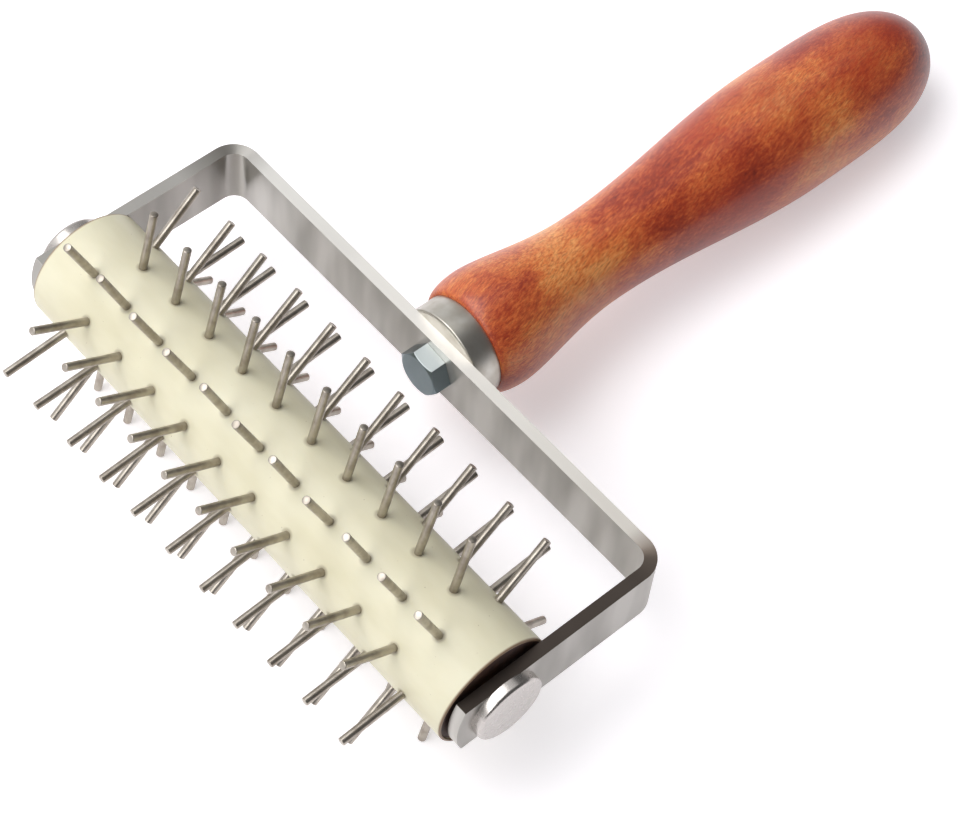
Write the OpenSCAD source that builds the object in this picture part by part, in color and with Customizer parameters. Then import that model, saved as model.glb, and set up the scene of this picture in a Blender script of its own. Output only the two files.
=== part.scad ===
// Dough docker: a pinned roller in a bent steel yoke with a turned wooden handle.
// It lies at rest on a table: two rows of pins and the belly of the handle touch z = 0.
// X runs along the roller, +Y towards the end of the handle, +Z up, millimetres.

/* [Roller] */
// Outer diameter of the plastic roller
roller_d = 30; // [28:1:40]
// Length of the roller between its end faces
roller_l = 144; // [96:1:200]
// Radius of the rounded rim at each end of the roller
rim_round = 0.3; // [0.2:0.1:0.5]
// Width of the plastic rim around the disc in each end of the roller
disc_rim = 0.6; // [0.6:0.1:2]
// Thickness of each disc
disc_t = 2; // [1:0.1:3]
// How far each disc is set back behind the rim
disc_back = 0.6; // [0.2:0.1:1.5]
// Gap between the roller's end face and the arm beside it
side_gap = 0.4; // [0.3:0.1:1]

/* [Pins] */
// Diameter of one pin
pin_d = 2; // [1.4:0.1:2.6]
// How far a pin stands out of the roller
pin_out = 17; // [10:0.5:22]
// How deep a pin is set into the roller
pin_sink = 7; // [4:0.5:8]
// Distance between neighbouring pins of a row
pin_pitch = 12; // [8:0.5:16]
// Least distance from the first pin of a long row to the roller's end face
pin_margin = 12; // [6:0.5:20]
// Number of rows around the roller, always even
rows = 10; // [8:2:12]

/* [Axle] */
// Diameter of the axle rod
axle_d = 6.35; // [5:0.05:8]
// Outer diameter of the bush in each end of the roller
bush_d = 10; // [9.5:0.1:12]
// Length of each bush
bush_l = 12; // [6:0.5:20]
// Diameter of the round cap on each end of the rod
cap_d = 18; // [12:0.5:20]
// Thickness of each cap
cap_t = 2.8; // [2:0.1:4]
// Radius of each cap's rounded rim
cap_edge = 0.9; // [0.3:0.1:1.2]
// Diameter of the rod's turned-down end inside the cap
stub_d = 4.6; // [3:0.1:4.8]
// Thickness of the cap's face in front of the rod's end
cap_skin = 0.7; // [0.5:0.1:1.2]

/* [Yoke] */
// Width of the flat steel bar
bar_w = 16; // [13:0.5:20]
// Thickness of the flat steel bar
bar_t = 3; // [2:0.1:4]
// Inside radius of the two bends
bend_r = 4; // [2:0.5:8]
// Free space between the tips of the pins and the cross part of the yoke
tip_gap = 13; // [8:0.5:25]
// How far each arm runs on past the middle of the axle
arm_tail = 13; // [9:0.5:16]
// Radius of the crowned end of each arm
crown_r = 18.5; // [11:0.5:30]

/* [Screw] */
// Diameter of the shank that holds the handle
screw_d = 6.35; // [5:0.05:8]
// Length of the screw under its head
screw_l = 48; // [30:1:70]
// Length of the screw's tapered point
point_l = 6; // [3:0.5:10]
// Width of the hexagonal head across its flats
head_af = 11.1; // [10:0.1:14]
// Height of the hexagonal head
head_h = 4.7; // [3:0.1:6]
// How far the head is turned from having a flat on top
head_turn = 8; // [0:1:30]
// How far the head's outer corners are chamfered
head_chamfer = 0.5; // [0.2:0.1:1]

/* [Ferrule] */
// Outer diameter of the ferrule
ferrule_d = 25.6; // [22:0.1:27]
// Wall of the ferrule
ferrule_t = 0.5; // [0.5:0.1:1.5]
// Length of the ferrule
ferrule_l = 6.6; // [4:0.2:12]
// Radius of the rounded front edge of the ferrule
ferrule_round = 0.4; // [0.2:0.1:0.4]
// Thickness of the steel disc in the mouth of the ferrule
washer_t = 1.2; // [0.8:0.1:2]

/* [Handle] */
// Length from the yoke to the end of the handle
handle_l = 158.3; // [120:0.1:200]
// Diameter of the wood where it meets the ferrule
neck_d = 25.9; // [25.7:0.1:28]
// Diameter of the swell behind the ferrule
swell_d = 30.4; // [28:0.1:36]
// Distance from the yoke to the top of that swell
swell_at = 14.5; // [13:0.5:20]
// Diameter of the waist
waist_d = 23.1; // [20:0.1:27]
// Distance from the yoke to the waist
waist_at = 46; // [30:1:60]
// Diameter of the belly
belly_d = 33.4; // [28:0.1:40]
// Distance from the yoke to the start of the belly's rounded end
belly_at = 111; // [90:1:115]

/* [Fits] */
// Radial clearance of the running bushes
run_fit = 0.06; // [0.04:0.01:0.1]
// Radial clearance of fixed pins, bushes and rod ends
press_gap = 0.02; // [0.01:0.01:0.04]
// Radial clearance of the axle and screw holes in the yoke
hole_gap = 0.15; // [0.1:0.05:0.4]
// Clearance behind the blind end of each hole
end_gap = 0.1; // [0.05:0.05:0.3]

/* [Hidden] */
$fn = 72;
roller_r = roller_d / 2;
pin_r = pin_d / 2;
tip_r = roller_r + pin_out;
row_step = 360 / rows;
long_row = floor((roller_l - 2 * pin_margin) / pin_pitch) + 1;
relief_r = axle_d / 2 + 1;
disc_r = roller_r - disc_rim;

// The roller stands on the edges of two rows of pins, one on each side of its lowest line.
axle_h = tip_r * cos(row_step / 2) + pin_r * sin(row_step / 2);

inner_w = roller_l + 2 * side_gap;
outer_w = inner_w + 2 * bar_t;
bar_y = tip_r + tip_gap;
bar_face = bar_y + bar_t;
stub_l = cap_t - cap_skin - end_gap;

ferrule_bore = ferrule_d / 2 - ferrule_t;
spigot_r = ferrule_bore - press_gap;
pilot_r = screw_d / 2 + press_gap;
pilot_l = screw_l - bar_t - point_l;
point_d = 1.6;
end_l = handle_l - belly_at;

// Steps along each stretch of the handle's outline
shoulder_steps = 8;
fall_steps = 14;
rise_steps = 16;
end_steps = 18;
// Below one, the fall from the swell to the waist is steep at first and slow at its end.
fall_bias = 0.8;

row_names = [for (k = [0 : rows - 1]) str("pin_row_", k < 9 ? "0" : "", k + 1)];

cream = "#e4dfc6";
steel = "#b3b1ae";
pin_steel = "#8b857d";
bronze = "#a98a56";
fibre = "#5c342a";
zinc = "#98a0a3";
wood = "#a9552f";

// Smooth step from 0 to 1
function ease(t) = (1 - cos(180 * t)) / 2;

// The wood's outline as [radius, distance from the yoke], from the ferrule to the end.
shoulder = [for (i = [0 : shoulder_steps])
    let (a = 90 * i / shoulder_steps)
    [neck_d / 2 + (swell_d - neck_d) / 2 * sin(a), swell_at - (swell_at - ferrule_l) * cos(a)]];
fall = [for (i = [1 : fall_steps])
    let (t = i / fall_steps)
    [(swell_d - (swell_d - waist_d) * ease(pow(t, fall_bias))) / 2,
     swell_at + (waist_at - swell_at) * t]];
rise = [for (i = [1 : rise_steps])
    let (t = i / rise_steps)
    [(waist_d + (belly_d - waist_d) * ease(t)) / 2, waist_at + (belly_at - waist_at) * t]];
// The end is a squarish dome: its radius falls with the fourth power of the distance.
dome = [for (i = [1 : end_steps])
    let (a = 90 * i / end_steps)
    [i == end_steps ? 0 : belly_d / 2 * cos(a), belly_at + end_l * sqrt(sin(a))]];
outline = concat(shoulder, fall, rise, dome);

// How far the handle reaches below the axle when it leans down by a degrees
function reach_down(a) = max([for (p = outline) (bar_face + p[1]) * sin(a) + p[0] * cos(a)]);
// How far it reaches behind the axle
function reach_back(a) = max([for (p = outline) (bar_face + p[1]) * cos(a) + p[0] * sin(a)]);
// The lean at which the belly of the handle touches the table, found by halving
function settle(low, high, n) =
    let (mid = (low + high) / 2)
    n == 0 ? mid : reach_down(mid) > axle_h ? settle(low, mid, n - 1) : settle(mid, high, n - 1);
lean = settle(-20, 30, 36);

function row_angle(k) = (k - 0.5) * row_step;
function row_count(k) = long_row - k % 2;
reach_front = max([for (k = [0 : rows - 1])
    pin_r * abs(cos(row_angle(k))) - tip_r * sin(row_angle(k))]);
// The origin lies on the table under the middle of the docker's length.
axle_y = (reach_front - reach_back(lean)) / 2;

// Moves from the middle of the axle to the docker's own frame.
module at_axle() {
    translate([0, axle_y, axle_h]) children();
}

// The yoke and the handle lean down together about the axle.
module leaning() {
    at_axle() rotate([-lean, 0, 0]) children();
}

// Turns a shape made along Z so that it runs along X.
module along_x() {
    rotate([0, 90, 0]) children();
}

// Turns a shape made along Z so that it runs along Y, starting at the yoke's outer face.
module on_handle() {
    leaning() translate([0, bar_face, 0]) rotate([-90, 0, 0]) children();
}

// Quarter-round corner points about a centre, from angle a0 to a1
function arc(cx, cy, r, a0, a1, n = 6) =
    [for (i = [0 : n]) let (a = a0 + (a1 - a0) * i / n) [cx + r * cos(a), cy + r * sin(a)]];

// Each place of a pin in row k, with its axis pointing outwards along Z
module in_row(k) {
    n = row_count(k);
    for (i = [0 : n - 1])
        translate([(i - (n - 1) / 2) * pin_pitch, 0, 0]) rotate([-row_angle(k), 0, 0]) children();
}

// The cream cylinder, bored for its bushes, recessed for its end discs and drilled for its pins.
module roller() {
    half = roller_l / 2;
    floor_x = half - disc_back - disc_t;
    recess_r = disc_r + press_gap;
    color(cream) at_axle() difference() {
        along_x() rotate_extrude() polygon(concat(
            [[relief_r, -floor_x], [recess_r, -floor_x], [recess_r, -half]],
            arc(roller_r - rim_round, -half + rim_round, rim_round, -90, 0),
            arc(roller_r - rim_round, half - rim_round, rim_round, 0, 90),
            [[recess_r, half], [recess_r, floor_x], [relief_r, floor_x]]
        ));
        for (side = [-1, 1])
            translate([side * (half - bush_l / 2), 0, 0])
                along_x() cylinder(r = bush_d / 2 + press_gap, h = bush_l, center = true);
        for (k = [0 : rows - 1])
            in_row(k) translate([0, 0, roller_r - pin_sink - end_gap])
                cylinder(r = pin_r + press_gap, h = pin_sink + pin_out, $fn = 32);
    }
}

// A hard-fibre disc around the bush, set into the roller's end.
module end_disc(side) {
    color(fibre) at_axle() translate([side * (roller_l / 2 - disc_back - disc_t / 2), 0, 0])
        along_x() difference() {
            cylinder(r = disc_r, h = disc_t, center = true);
            cylinder(r = bush_d / 2 + press_gap, h = 2 * disc_t, center = true);
        }
}

// A plain bush, flush with the roller's rim.
module bush(side) {
    color(bronze) at_axle() translate([side * (roller_l - bush_l) / 2, 0, 0])
        along_x() difference() {
            cylinder(r = bush_d / 2, h = bush_l, center = true);
            cylinder(r = axle_d / 2 + run_fit, h = 2 * bush_l, center = true);
        }
}

// One row of pins with plain cut ends.
module pin_row(k) {
    color(pin_steel) at_axle() in_row(k)
        translate([0, 0, roller_r - pin_sink]) cylinder(r = pin_r, h = pin_sink + pin_out, $fn = 32);
}

// The rod, with a thinner stub at each end that the caps are pressed on.
module axle_rod() {
    color(steel) leaning() along_x() union() {
        cylinder(r = axle_d / 2, h = outer_w, center = true);
        cylinder(r = stub_d / 2, h = outer_w + 2 * stub_l, center = true);
    }
}

// A round flat cap that closes one end of the axle, side is -1 on the left and 1 on the right.
module axle_cap(side) {
    cap_r = cap_d / 2;
    color(steel) leaning() translate([side * outer_w / 2, 0, 0]) rotate([0, 90 * side, 0])
        difference() {
            rotate_extrude() polygon(concat(
                [[0, 0], [cap_r, 0]],
                arc(cap_r - cap_edge, cap_t - cap_edge, cap_edge, 0, 90),
                [[0, cap_t]]
            ));
            translate([0, 0, -end_gap])
                cylinder(r = stub_d / 2 + press_gap, h = cap_t - cap_skin + end_gap);
        }
}

// The bent bar: a cross part, two quarter bends and two arms with crowned ends.
module yoke() {
    half_w = bar_w / 2;
    color(steel) leaning() difference() {
        union() {
            translate([bend_r - inner_w / 2, bar_y, -half_w])
                cube([inner_w - 2 * bend_r, bar_t, bar_w]);
            for (side = [0, 1]) mirror([side, 0, 0]) {
                translate([inner_w / 2 - bend_r, bar_y - bend_r, -half_w])
                    rotate_extrude(angle = 90) translate([bend_r, 0]) square([bar_t, bar_w]);
                translate([inner_w / 2, 0, -half_w]) cube([bar_t, bar_y - bend_r, bar_w]);
                intersection() {
                    translate([inner_w / 2, -arm_tail, -half_w]) cube([bar_t, arm_tail, bar_w]);
                    translate([inner_w / 2 + bar_t / 2, crown_r - arm_tail, 0])
                        along_x() cylinder(r = crown_r, h = 2 * bar_t, center = true);
                }
            }
        }
        along_x() cylinder(r = axle_d / 2 + hole_gap, h = 2 * outer_w, center = true);
        translate([0, bar_y + bar_t / 2, 0]) rotate([90, 0, 0])
            cylinder(r = screw_d / 2 + hole_gap, h = 2 * bar_t, center = true);
    }
}

// The hex-head screw that runs through the yoke into the handle.
module handle_screw() {
    shank_l = screw_l - point_l;
    corner_r = head_af / sqrt(3);
    color(zinc) on_handle() translate([0, 0, -bar_t]) union() {
        translate([0, 0, -head_h]) rotate([0, 0, head_turn]) intersection() {
            cylinder(r = corner_r, h = head_h, $fn = 6);
            union() {
                cylinder(r1 = corner_r - head_chamfer * 2, r2 = corner_r, h = head_chamfer);
                translate([0, 0, head_chamfer]) cylinder(r = corner_r, h = head_h - head_chamfer);
            }
        }
        cylinder(r = screw_d / 2, h = shank_l);
        translate([0, 0, shank_l]) cylinder(r1 = screw_d / 2, r2 = point_d / 2, h = point_l);
    }
}

// The disc that closes the mouth of the ferrule in front of the wood.
module end_washer() {
    color(steel) on_handle() difference() {
        cylinder(r = ferrule_bore - hole_gap, h = washer_t);
        translate([0, 0, -washer_t]) cylinder(r = screw_d / 2 + hole_gap, h = 3 * washer_t);
    }
}

// The ring around the front of the handle, with a rounded front edge.
module ferrule() {
    outer = ferrule_d / 2;
    color(steel) on_handle() rotate_extrude() polygon(concat(
        [[ferrule_bore, 0]],
        arc(outer - ferrule_round, ferrule_round, ferrule_round, -90, 0),
        [[outer, ferrule_l], [ferrule_bore, ferrule_l]]
    ));
}

// The turned handle: a spigot inside the ferrule, swell, waist, belly and domed end.
module handle() {
    color(wood) on_handle() difference() {
        rotate_extrude() polygon(concat(
            [[0, washer_t], [spigot_r, washer_t], [spigot_r, ferrule_l]],
            outline
        ));
        cylinder(r = pilot_r, h = pilot_l);
        translate([0, 0, pilot_l])
            cylinder(r1 = pilot_r, r2 = point_d / 2 + press_gap, h = point_l + end_gap);
    }
}

roller();
end_disc(-1);  // left_end_disc
end_disc(1);  // right_end_disc
bush(-1);  // left_bush
bush(1);  // right_bush
for (k = [0 : rows - 1]) pin_row(k);
axle_rod();
axle_cap(-1);  // left_axle_cap
axle_cap(1);  // right_axle_cap
yoke();
handle_screw();
end_washer();
ferrule();
handle();
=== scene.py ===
"""A dough docker: a pinned cream roller in a bent steel yoke with a red-brown wooden handle.

All lengths are in metres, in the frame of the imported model: X along the roller, +Y towards the end of
the handle, +Z up. The docker lies on its pins and on the belly of the handle, so the yoke and the
handle lean down a little. Their meshes are first made in the yoke's own frame and then leaned.
"""

import math

import bmesh
import bpy
from mathutils import Matrix, Vector


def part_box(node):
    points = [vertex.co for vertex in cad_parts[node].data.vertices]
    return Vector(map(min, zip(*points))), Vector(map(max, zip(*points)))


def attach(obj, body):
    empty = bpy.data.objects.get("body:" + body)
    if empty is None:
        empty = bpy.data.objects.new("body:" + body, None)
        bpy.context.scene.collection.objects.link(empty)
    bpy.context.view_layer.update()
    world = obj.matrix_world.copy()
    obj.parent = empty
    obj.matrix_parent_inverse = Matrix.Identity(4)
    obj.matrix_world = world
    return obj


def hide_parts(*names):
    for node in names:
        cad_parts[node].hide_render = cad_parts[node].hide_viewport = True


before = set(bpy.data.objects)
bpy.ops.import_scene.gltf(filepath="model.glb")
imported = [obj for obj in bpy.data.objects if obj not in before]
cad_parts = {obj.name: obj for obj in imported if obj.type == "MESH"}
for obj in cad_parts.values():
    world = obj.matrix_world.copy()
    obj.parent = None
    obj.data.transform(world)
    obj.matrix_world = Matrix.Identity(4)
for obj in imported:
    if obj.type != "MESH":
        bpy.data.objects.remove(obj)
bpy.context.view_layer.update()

bl_info = {
    "name": "Dough docker",
    "version": (1, 0, 0),
    "blender": (4, 5, 0),
    "location": "3D View > Sidebar > Docker",
    "description": "Makes a dough docker with a pinned roller, a steel yoke and a turned wooden handle",
    "category": "Object",
}

MM = 0.001
PIN_ROWS = sorted(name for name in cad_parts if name.startswith("pin_row_"))

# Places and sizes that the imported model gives
ROLLER_LOW, ROLLER_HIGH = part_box("roller")
ROLLER_R = (ROLLER_HIGH.y - ROLLER_LOW.y) / 2
ROLLER_L = ROLLER_HIGH.x - ROLLER_LOW.x
AXLE = (ROLLER_LOW + ROLLER_HIGH) / 2
DISC_LOW, DISC_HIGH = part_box("right_end_disc")
DISC_R = (DISC_HIGH.y - DISC_LOW.y) / 2
YOKE_W = 2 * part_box("yoke")[1].x
CAP_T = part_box("right_axle_cap")[1].x - YOKE_W / 2
FERRULE_MID = sum(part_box("ferrule"), Vector()) / 2 - AXLE
LEAN = math.atan2(-FERRULE_MID.z, FERRULE_MID.y)

# The room left between two pieces that fit tightly, so that no two faces lie in the same place
FIT = 0.02 * MM

# Frames: the axle's, with Z as up, and the yoke's, which leans down about the axle
AT_AXLE = Matrix.Translation(AXLE)
LEANING = AT_AXLE @ Matrix.Rotation(-LEAN, 4, "X")
ALONG_X = Matrix.Rotation(math.radians(90), 4, "Y")
ALONG_Y = Matrix.Rotation(math.radians(-90), 4, "X")


def linear(code):
    """Turns an sRGB hex colour such as #c06344 into linear red, green, blue and alpha."""
    parts = [int(code[i:i + 2], 16) / 255 for i in (1, 3, 5)]
    return [p / 12.92 if p <= 0.04045 else ((p + 0.055) / 1.055) ** 2.4 for p in parts] + [1.0]


def length(name, description, mm):
    """A length in the panel, given in millimetres."""
    return bpy.props.FloatProperty(name=name, description=description, default=mm * MM, unit="LENGTH")


def colour(name, description, code):
    """A colour in the panel, given as sRGB hex."""
    return bpy.props.FloatVectorProperty(name=name, description=description, default=linear(code),
                                         size=4, min=0, max=1, subtype="COLOR")


def angle(name, description, degrees):
    """An angle in the panel, given in degrees."""
    return bpy.props.FloatProperty(name=name, description=description, default=math.radians(degrees),
                                   subtype="ANGLE")


class RollerSettings(bpy.types.PropertyGroup):
    rim: length("Rim radius", "Radius of the roller's rounded rims", 0.3)
    relief: length("Relief radius", "Radius of the hole through the roller, clear of the rod", 4.175)
    seat: length("Bush seat radius", "Radius of the seat of a bush in the roller's end", 5.02)
    seat_depth: length("Bush seat depth", "Depth of the seat of a bush", 12)
    pin_radius: length("Pin radius", "Radius of one pin", 1)
    pin_out: length("Pin length", "How far a pin stands out of the roller", 17)
    pin_sink: length("Pin depth", "How deep a pin is set into the roller", 7)
    pitch: length("Pin pitch", "Distance between neighbouring pins of a row", 12)
    long_row: bpy.props.IntProperty(name="Pins in a long row", description="Every other row has one less",
                                    default=11, min=2)
    wander: angle("Pin wander", "How far a pin may tilt from its true direction", 0.7)
    seed: bpy.props.IntProperty(name="Seed", description="Picks which pins tilt", default=4)


class YokeSettings(bpy.types.PropertyGroup):
    bar_width: length("Bar width", "Width of the flat steel bar", 16)
    bar_thickness: length("Bar thickness", "Thickness of the flat steel bar", 3)
    bend: length("Bend radius", "Inside radius of the two bends", 4)
    reach: length("Reach", "Distance from the axle to the outer face of the cross part", 48)
    tail: length("Arm tail", "How far each arm runs on past the axle", 13)
    crown: length("Crown radius", "Radius of the crowned end of each arm", 18.5)
    edge: length("Edge radius", "How far the bar's edges are rounded", 0.3)
    hole: length("Hole radius", "Radius of the holes for the axle and the screw", 3.325)
    cap_radius: length("Cap radius", "Radius of the round cap on each end of the axle", 9)
    cap_edge: length("Cap edge radius", "Radius of a cap's rounded rim", 0.9)
    stub: length("Stub radius", "Radius of the rod's end inside a cap", 2.32)
    cap_skin: length("Cap skin", "Thickness of a cap's face in front of the rod", 0.7)


class ScrewSettings(bpy.types.PropertyGroup):
    across_flats: length("Across flats", "Width of the hexagonal head", 11.1)
    head: length("Head height", "Height of the hexagonal head", 4.7)
    turn: angle("Head turn", "How far the head is turned from having a flat on top", 8)
    chamfer: length("Chamfer", "Depth of the chamfer on the head's corners", 0.5)
    shank: length("Shank radius", "Radius of the shank", 3.175)
    under_head: length("Length under head", "Length of the screw under its head", 48)
    point: length("Point", "Length of the tapered point", 6)
    point_radius: length("Point radius", "Radius of the point's blunt end", 0.8)


class HandleSettings(bpy.types.PropertyGroup):
    ferrule_radius: length("Ferrule radius", "Outer radius of the ferrule", 12.8)
    ferrule_wall: length("Ferrule wall", "Wall of the ferrule", 0.5)
    ferrule_length: length("Ferrule length", "Length of the ferrule", 6.6)
    ferrule_edge: length("Ferrule edge", "Radius of the ferrule's rounded front edge", 0.4)
    washer: length("Washer thickness", "Thickness of the disc in the mouth of the ferrule", 1.2)
    washer_gap: length("Washer gap", "Gap between the disc and the ferrule", 0.15)
    neck: length("Neck radius", "Radius of the wood behind the ferrule", 12.95)
    swell: length("Swell radius", "Radius of the swell behind the ferrule", 15.2)
    swell_at: length("Swell place", "Distance from the yoke to the top of the swell", 14.5)
    waist: length("Waist radius", "Radius of the waist", 11.55)
    waist_at: length("Waist place", "Distance from the yoke to the waist", 46)
    belly: length("Belly radius", "Radius of the belly", 16.7)
    belly_at: length("Belly place", "Distance from the yoke to the start of the rounded end", 111)
    end_at: length("Handle length", "Distance from the yoke to the end of the handle", 158.3)


class ColourSettings(bpy.types.PropertyGroup):
    cream_plastic: colour("Roller", "Colour of the plastic roller", "#e3dec4")
    lacquered_wood: colour("Handle", "Middle colour of the stained wood", "#c45b2e")
    bright_steel: colour("Yoke", "Colour of the yoke's edges", "#d3d0cb")
    cap_steel: colour("Caps", "Colour of the axle caps and the rod", "#c0bbb7")
    ferrule_steel: colour("Ferrule", "Colour of the ferrule and the disc in its mouth", "#c3c0b9")
    pin_steel: colour("Pins", "Colour of the pins", "#b2aba1")
    zinc: colour("Screw", "Colour of the handle screw", "#7f8c91")
    bronze: colour("Bushes", "Colour of the bushes", "#b0905c")
    hard_fibre: colour("End discs", "Colour of the discs in the roller's ends", "#4a2c20")


class StageSettings(bpy.types.PropertyGroup):
    azimuth: angle("Camera azimuth", "Turn of the camera about Z", 48.09)
    elevation: angle("Camera elevation", "Height angle of the camera", 59.35)
    roll: angle("Camera roll", "Turn of the camera about its own axis", 1.01)
    distance: length("Camera distance", "Distance from the camera to its target", 618.1)
    target: bpy.props.FloatVectorProperty(
        name="Camera target", description="Point that the camera looks at",
        default=(0.017, -0.0425, 0.030), subtype="TRANSLATION")
    lens: bpy.props.FloatProperty(
        name="Lens", description="Focal length on a 36 mm sensor", default=102.3, unit="CAMERA")
    key: bpy.props.FloatProperty(
        name="Key lamp", description="Power of the key lamp", default=8.5, unit="POWER")
    paper: colour("Floor", "Colour of the floor", "#f3f1f4")


def grey(level):
    """A grey of that linear level, for a colour ramp that holds a plain number."""
    return [level, level, level, 1.0]


def add(tree, kind, links=None, stops=None, **settings):
    """Adds a node. Settings are its own, links maps an input's name or number to a value, a socket or
    a node whose first output in use is meant, and stops are a colour ramp's places with their colours."""
    node = tree.nodes.new(kind)
    for name, value in settings.items():
        setattr(node, name, value)
    for name, value in (links or {}).items():
        if isinstance(value, bpy.types.Node):
            value = next(socket for socket in value.outputs if socket.enabled)
        if isinstance(value, bpy.types.NodeSocket):
            tree.links.new(value, node.inputs[name])
        else:
            node.inputs[name].default_value = value
    if stops:
        elements = node.color_ramp.elements
        while len(elements) < len(stops):
            elements.new(0.5)
        for element, (place, shade) in zip(elements, stops):
            element.position = place
            element.color = shade
    return node


def new_material(name, **shader):
    """Starts a material and returns it with its tree and its shader node."""
    material = bpy.data.materials.new(name)
    material.use_nodes = True
    tree = material.node_tree
    tree.nodes.clear()
    principled = add(tree, "ShaderNodeBsdfPrincipled", shader)
    add(tree, "ShaderNodeOutputMaterial", {"Surface": principled.outputs[0]})
    return material, tree, principled


def mottle(tree, sizes_mm, detail=3.0, roughness=0.5, turn=(0, 0, 0), place=None):
    """Mottling with spots of sizes_mm along X, Y and Z, as a socket that runs from 0 to 1."""
    if place is None:
        place = add(tree, "ShaderNodeTexCoord").outputs["Object"]
    sized = add(tree, "ShaderNodeMapping",
                {"Vector": place, "Rotation": turn, "Scale": [s * MM for s in sizes_mm]},
                vector_type="TEXTURE")
    return add(tree, "ShaderNodeTexNoise", {"Vector": sized.outputs[0], "Scale": 1.0, "Detail": detail,
                                            "Roughness": roughness}).outputs["Fac"]


def cream_plastic(base, rows, long_row, pitch, pin_radius):
    """Polyethylene turned on a lathe: an even, waxy satin cream, a little darker in broad clouds, with
    a few specks, fine marks around the roller, a brown band at each rim and painted shade round each pin."""
    material, tree, shader = new_material("polyethylene_turned", IOR=1.5, Roughness=0.45)
    clouds = mottle(tree, (22, 9, 9))
    shaded = add(tree, "ShaderNodeValToRGB", {"Fac": clouds},
                 stops=[(0.3, linear("#d9d3b6")), (0.62, base)])
    specks = add(tree, "ShaderNodeMapRange", {"Value": mottle(tree, (0.5, 0.5, 0.5), detail=1),
                                              "From Min": 0.79, "From Max": 0.84},
                 interpolation_type="SMOOTHSTEP")

    # The rows stand at half steps of the turn about the axle, and every other row is half a pitch off.
    step = 2 * math.pi / rows
    point = add(tree, "ShaderNodeTexCoord").outputs["Object"]
    from_axle = add(tree, "ShaderNodeVectorMath", {0: point, 1: AXLE}, operation="SUBTRACT")
    place = add(tree, "ShaderNodeSeparateXYZ", {0: from_axle}).outputs
    turn = add(tree, "ShaderNodeMath", {0: place["Y"], 1: place["Z"]}, operation="ARCTAN2")
    past_step = add(tree, "ShaderNodeMath", {0: turn, 1: step}, operation="FLOORED_MODULO")
    around = add(tree, "ShaderNodeMath", {0: past_step, 1: ROLLER_R, 2: -ROLLER_R * step / 2},
                 operation="MULTIPLY_ADD")
    past_pair = add(tree, "ShaderNodeMath", {0: turn, 1: 2 * step}, operation="FLOORED_MODULO")
    first_of_pair = add(tree, "ShaderNodeMath", {0: past_pair, 1: step}, operation="LESS_THAN")
    shifted = add(tree, "ShaderNodeMath", {0: first_of_pair, 1: pitch / 2, 2: place["X"]},
                  operation="MULTIPLY_ADD")
    along = add(tree, "ShaderNodeMath", {0: shifted, 1: pitch / 2, 2: -pitch / 2}, operation="WRAP")
    offset = add(tree, "ShaderNodeCombineXYZ", {"X": around, "Y": along})
    from_pin = add(tree, "ShaderNodeVectorMath", {0: offset}, operation="LENGTH")

    # A ring of painted shade goes around the base of each pin, and none where the rows have ended.
    from_middle = add(tree, "ShaderNodeMath", {0: place["X"]}, operation="ABSOLUTE")
    rows_end = (long_row - 1) * pitch / 2 + 3 * MM
    most = add(tree, "ShaderNodeMapRange", {"Value": from_middle, "From Min": rows_end + 0.2 * MM,
                                            "From Max": rows_end, "To Max": 0.5},
               interpolation_type="SMOOTHSTEP")
    pin_base_shade = add(tree, "ShaderNodeMapRange", {"Value": from_pin, "From Min": pin_radius + 0.9 * MM,
                                             "From Max": pin_radius, "To Max": most},
                interpolation_type="SMOOTHSTEP")
    # A brown band along each rim.
    rims = add(tree, "ShaderNodeMapRange", {"Value": from_middle, "From Min": ROLLER_L / 2 - 0.7 * MM,
                                            "From Max": ROLLER_L / 2 - 0.1 * MM, "To Max": 0.9},
               interpolation_type="SMOOTHSTEP")
    # Mixed in turn: the specks, the painted shade around the pins and the brown band at each rim.
    for amount, code in ((specks, "#8d7a5c"), (pin_base_shade, "#80735a"), (rims, "#7d5c40")):
        shaded = add(tree, "ShaderNodeMix", {0: amount, 6: shaded, 7: linear(code)}, data_type="RGBA")
    tree.links.new(shaded.outputs[2], shader.inputs["Base Color"])

    # Real marks of the lathe are finer, and are drawn as coarse as they need to show.
    marks = mottle(tree, (0.35, 12, 12), detail=2)
    rough = add(tree, "ShaderNodeBump", {"Height": marks, "Distance": 0.012 * MM, "Strength": 0.6})
    tree.links.new(rough.outputs[0], shader.inputs["Normal"])
    shader.inputs["Subsurface Weight"].default_value = 0.12
    shader.inputs["Subsurface Radius"].default_value = (1.0, 0.8, 0.5)
    shader.inputs["Subsurface Scale"].default_value = 1.5 * MM
    return material


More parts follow.
